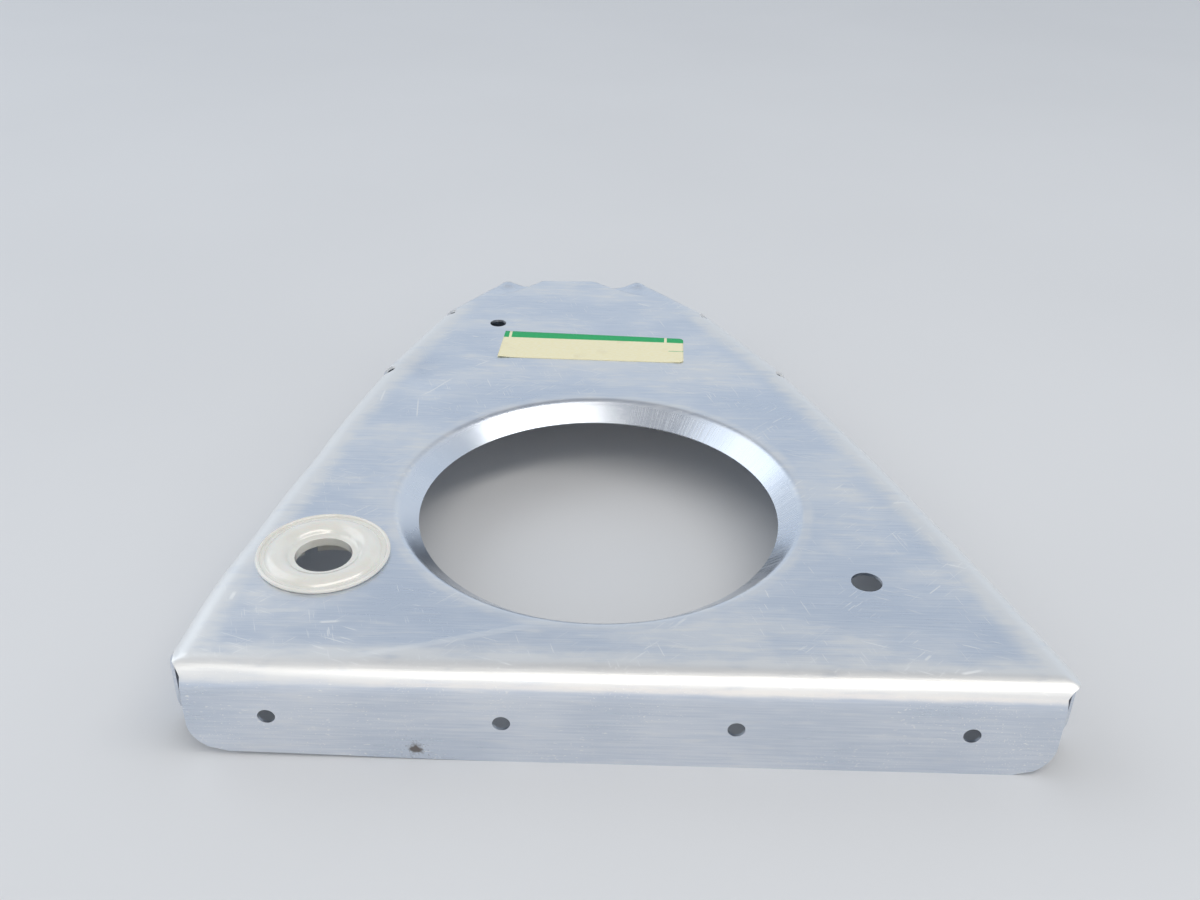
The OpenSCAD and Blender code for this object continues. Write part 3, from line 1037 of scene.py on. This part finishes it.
mould_edge = bushing.modifiers.new("mould_edge", "BEVEL")
mould_edge.width = 0.12 * mm
mould_edge.segments = 3
mould_edge.limit_method = "ANGLE"
mould_edge.angle_limit = math.radians(35)
mould_edge.harden_normals = True

# Its finish: unpainted nylon with a soft gloss, faintly yellowed and mottled, with fine handling marks.
nylon_cream = (0.80, 0.775, 0.70, 1)
nylon_pale = (0.83, 0.81, 0.745, 1)
nylon_grime = (0.62, 0.57, 0.46, 1)
nylon, nylon_shader, resin = finish("cream_nylon")
place = resin.add("ShaderNodeTexCoord", output="Object")
mottle = place.noise(260, 4.0)
grime = place.noise(700, 5.0)
nylon_colour = mottle.step(0.35, 0.65).blend(nylon_cream, nylon_pale)
nylon_colour = (0.2 * grime.step(0.6, 0.75)).blend(nylon_colour, nylon_grime)
feed(nylon_shader, "Base Color", nylon_colour)
feed(nylon_shader, "Roughness", 0.18 + 0.08 * mottle + 0.04 * grime.step(0.55, 0.75))
nylon_shader.inputs["Specular IOR Level"].default_value = 1.0
nylon_shader.inputs["Coat Weight"].default_value = 1.0
nylon_shader.inputs["Coat Roughness"].default_value = 0.15
nylon_shader.inputs["Subsurface Weight"].default_value = 0.06
nylon_shader.inputs["Subsurface Scale"].default_value = 0.0012
feed(nylon_shader, "Normal", mottle.bump(0.03, 0.1 * mm))
bushing_mesh.materials.append(nylon)
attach(bushing, "root")
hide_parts("grommet")

# Blank paper label stuck on the web near the nose, cut at a slant at its left end. It is cream with a
# printed green stripe along its far edge, and its corners have begun to lift.
label_half = 24.4
label_left_half = 7.8
label_right_half = 7.15
label_corner = 1.3
label_slant = 0.4
label_thickness = 0.11
label_gap = 0.01
label_turn = math.radians(-1.9)
label_middle = Vector((-8.2, 132.8))
label_steps = 24
label_corner_steps = 8
label_columns = 24
label_rows = 7
label_clear = 0.3
label_loop = [Vector((-label_half, -label_left_half))]
for step in range(1, label_steps):
    share = step / label_steps
    low = -label_left_half + (label_left_half - label_right_half) * share
    label_loop.append(Vector((-label_half + (2 * label_half - label_corner) * share, low)))
for side, first in ((-1, -math.pi / 2), (1, 0)):
    centre = Vector((label_half - label_corner, side * (label_right_half - label_corner)))
    for step in range(label_corner_steps + 1):
        angle = first + math.pi / 2 * step / label_corner_steps
        label_loop.append(centre + label_corner * Vector((math.cos(angle), math.sin(angle))))
for step in range(1, label_steps + 1):
    share = 1 - step / label_steps
    high = label_left_half + (label_right_half - label_left_half) * share
    left = -label_half + label_slant
    label_loop.append(Vector((left + (label_half - label_corner - left) * share, high)))
label_free = []
for column in range(-label_columns, label_columns + 1):
    for row in range(-label_rows, label_rows + 1):
        label_free.append(Vector((column, row)))
paper_points, paper_faces = fill(label_loop, [], label_free, label_clear)
# Corners that lift: place, reach and height.
lifted_corners = [
    (Vector((-label_half, -label_left_half)), 5.0, 0.22),
    (Vector((label_half, -label_right_half)), 4.0, 0.16),
    (Vector((label_half, label_right_half)), 3.0, 0.08),
]
paper = bmesh.new()
corners = []
for point in paper_points:
    lift = label_gap + label_thickness
    for corner, reach, height in lifted_corners:
        lift += height * (1 - smooth(0, reach, (point - corner).length))
    point = turned(point, label_turn) + label_middle
    point = Vector((point.x, point.y, web_height(point) - dent_depth(point) + lift))
    corners.append(paper.verts.new((point - rib_middle) * mm))
for face in paper_faces:
    a, b, c = [corners[place_on] for place_on in face]
    upward = (b.co - a.co).cross(c.co - a.co).z > 0
    paper.faces.new((a, b, c) if upward else (c, b, a))
label_mesh = bpy.data.meshes.new("paper_label_sheet")
paper.to_mesh(label_mesh)
paper.free()
for face in label_mesh.polygons:
    face.use_smooth = True
label = bpy.data.objects.new("paper_label_sheet", label_mesh)
bpy.context.collection.objects.link(label)
stock = label.modifiers.new("stock", "SOLIDIFY")
stock.thickness = label_thickness * mm
stock.offset = -1

# Its finish: uncoated paper with fibres and a few faint smudges. The stripe has two narrow breaks, and a
# thin line runs to the right end below it.
paper_cream = (0.89, 0.82, 0.53, 1)
paper_pale = (0.91, 0.855, 0.61, 1)
paper_smudge = (0.66, 0.58, 0.40, 1)
stripe_green = (0.01, 0.40, 0.12, 1)
stripe_worn = (0.03, 0.47, 0.18, 1)
stripe_foot = 4.25
stripe_slope = 0.006
stripe_blur = 0.06
break_left = -22.4
break_right = 19.6
break_half = 0.35
line_place = -0.7
line_half = 0.12
line_start = (20.4, 20.5)
fibre_scale = (900, 2600, 900)
label_finish, label_shader, fibre = finish("label_paper")
place = fibre.add("ShaderNodeTexCoord", output="Object")
label_origin = (Vector((label_middle.x, label_middle.y, 0)) - rib_middle) * mm
local = fibre.add("ShaderNodeVectorMath", {"operation": "SUBTRACT"}, {0: place, 1: label_origin})
label_x, label_y = [axis / mm for axis in local.swung(-label_turn).axes()[:2]]
fibres = place.stretched(fibre_scale).noise(1.0, 4.0)
blotch = place.noise(140, 4.0)
paper_colour = fibres.step(0.35, 0.65).blend(paper_cream, paper_pale)
paper_colour = (0.3 * blotch.step(0.58, 0.75)).blend(paper_colour, paper_smudge)
stripe = (label_y - (stripe_foot + stripe_slope * label_x)).step(-stripe_blur, stripe_blur)
stripe = stripe * (1 - label_x.near(break_left, break_half) - label_x.near(break_right, break_half))
thin_line = label_y.near(line_place, line_half) * label_x.step(*line_start)
printed = (stripe + thin_line).smaller(1.0)
green = fibres.step(0.5, 0.72).blend(stripe_green, stripe_worn)
feed(label_shader, "Base Color", printed.blend(paper_colour, green))
feed(label_shader, "Roughness", 0.62 + 0.2 * fibres - 0.15 * printed)
feed(label_shader, "Normal", fibres.bump(0.15, 0.06 * mm))
label_mesh.materials.append(label_finish)
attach(label, "root")
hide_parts("paper_label")

# Plain pale table top under the rib, wide enough to fill every view.
floor_pale = (0.75, 0.755, 0.765, 1)
floor_worn = (0.73, 0.735, 0.745, 1)
floor_half = 20.0
floor_mesh = bpy.data.meshes.new("table_top")
floor_corners = [(x * floor_half, y * floor_half, 0) for x, y in ((-1, -1), (1, -1), (1, 1), (-1, 1))]
floor_mesh.from_pydata(floor_corners, [], [(0, 1, 2, 3)])
table_top = bpy.data.objects.new("table_top", floor_mesh)
bpy.context.collection.objects.link(table_top)
floor_finish, floor_shader, surface = finish("pale_table")
speckle = surface.add("ShaderNodeTexCoord", output="Object").noise(6.0, 3.0)
feed(floor_shader, "Base Color", speckle.step(0.3, 0.7).blend(floor_pale, floor_worn))
floor_shader.inputs["Roughness"].default_value = 0.65
floor_mesh.materials.append(floor_finish)

# Plain soft studio light: an even pale room that is darker overhead, a wide warm lamp above and toward the
# viewer, which draws the bright line along the bends, a low cream one that tints the foot of that line,
# and a large cool one at the far left.
room_low = (0.74, 0.81, 0.90, 1)
room_high = (0.43, 0.44, 0.465, 1)
room_level = 0.9
overhead_from = 0.5
overhead_full = 0.9
room = bpy.data.worlds.new("pale_room")
bpy.context.scene.world = room
room.use_nodes = True
room_background = room.node_tree.nodes["Background"]
air = Tone(room.node_tree)
overhead = air.add("ShaderNodeTexCoord", output="Generated").axes()[2]
feed(room_background, "Color", overhead.step(overhead_from, overhead_full).blend(room_low, room_high))
room_background.inputs["Strength"].default_value = room_level


def soft_lamp(name, colour, power, width, depth, place):
    """A flat lamp that faces the rib."""
    light = bpy.data.lights.new(name, "AREA")
    light.shape = "RECTANGLE"
    light.color = colour
    light.energy = power
    light.size = width
    light.size_y = depth
    lamp = bpy.data.objects.new(name, light)
    lamp.location = place
    lamp.rotation_euler = (-Vector(place)).to_track_quat("-Z", "Y").to_euler()
    bpy.context.collection.objects.link(lamp)


soft_lamp("warm_lamp", (1.0, 0.965, 0.90), power=4.0, width=1.4, depth=0.27, place=(0.26, -0.38, 0.93))
soft_lamp("low_lamp", (1.0, 0.68, 0.34), power=0.6, width=0.9, depth=0.1, place=(0.15, -1.1, 0.42))
soft_lamp("cool_lamp", (0.90, 0.95, 1.0), power=2.2, width=0.9, depth=0.9, place=(-0.85, 0.30, 0.75))

# The viewer: the photograph's own place, a little to the left of the middle and 31 degrees above the rib.
eye_place = Vector((-3.76, -262.6, 171.5)) * mm
eye_down = math.radians(31.045)
eye_yaw = math.radians(-0.428)
eye_roll = math.radians(1.211)
eye_ahead = Vector((
    math.sin(eye_yaw) * math.cos(eye_down),
    math.cos(eye_yaw) * math.cos(eye_down),
    -math.sin(eye_down),
))
eye_level = Vector((math.cos(eye_yaw), -math.sin(eye_yaw), 0))
eye_top = eye_level.cross(eye_ahead)
eye_right = math.cos(eye_roll) * eye_level + math.sin(eye_roll) * eye_top
eye_up = math.cos(eye_roll) * eye_top - math.sin(eye_roll) * eye_level
eye_turn = Matrix((eye_right, eye_up, -eye_ahead)).transposed().to_4x4()
lens = bpy.data.cameras.new("viewer")
lens.lens = 38.1
lens.sensor_width = 36
lens.sensor_fit = "HORIZONTAL"
lens.clip_start = 0.01
viewer = bpy.data.objects.new("viewer", lens)
viewer.matrix_world = Matrix.Translation(eye_place) @ eye_turn
bpy.context.collection.objects.link(viewer)
bpy.context.scene.camera = viewer
bpy.context.scene.view_settings.view_transform = "Standard"

bpy.context.view_layer.update()
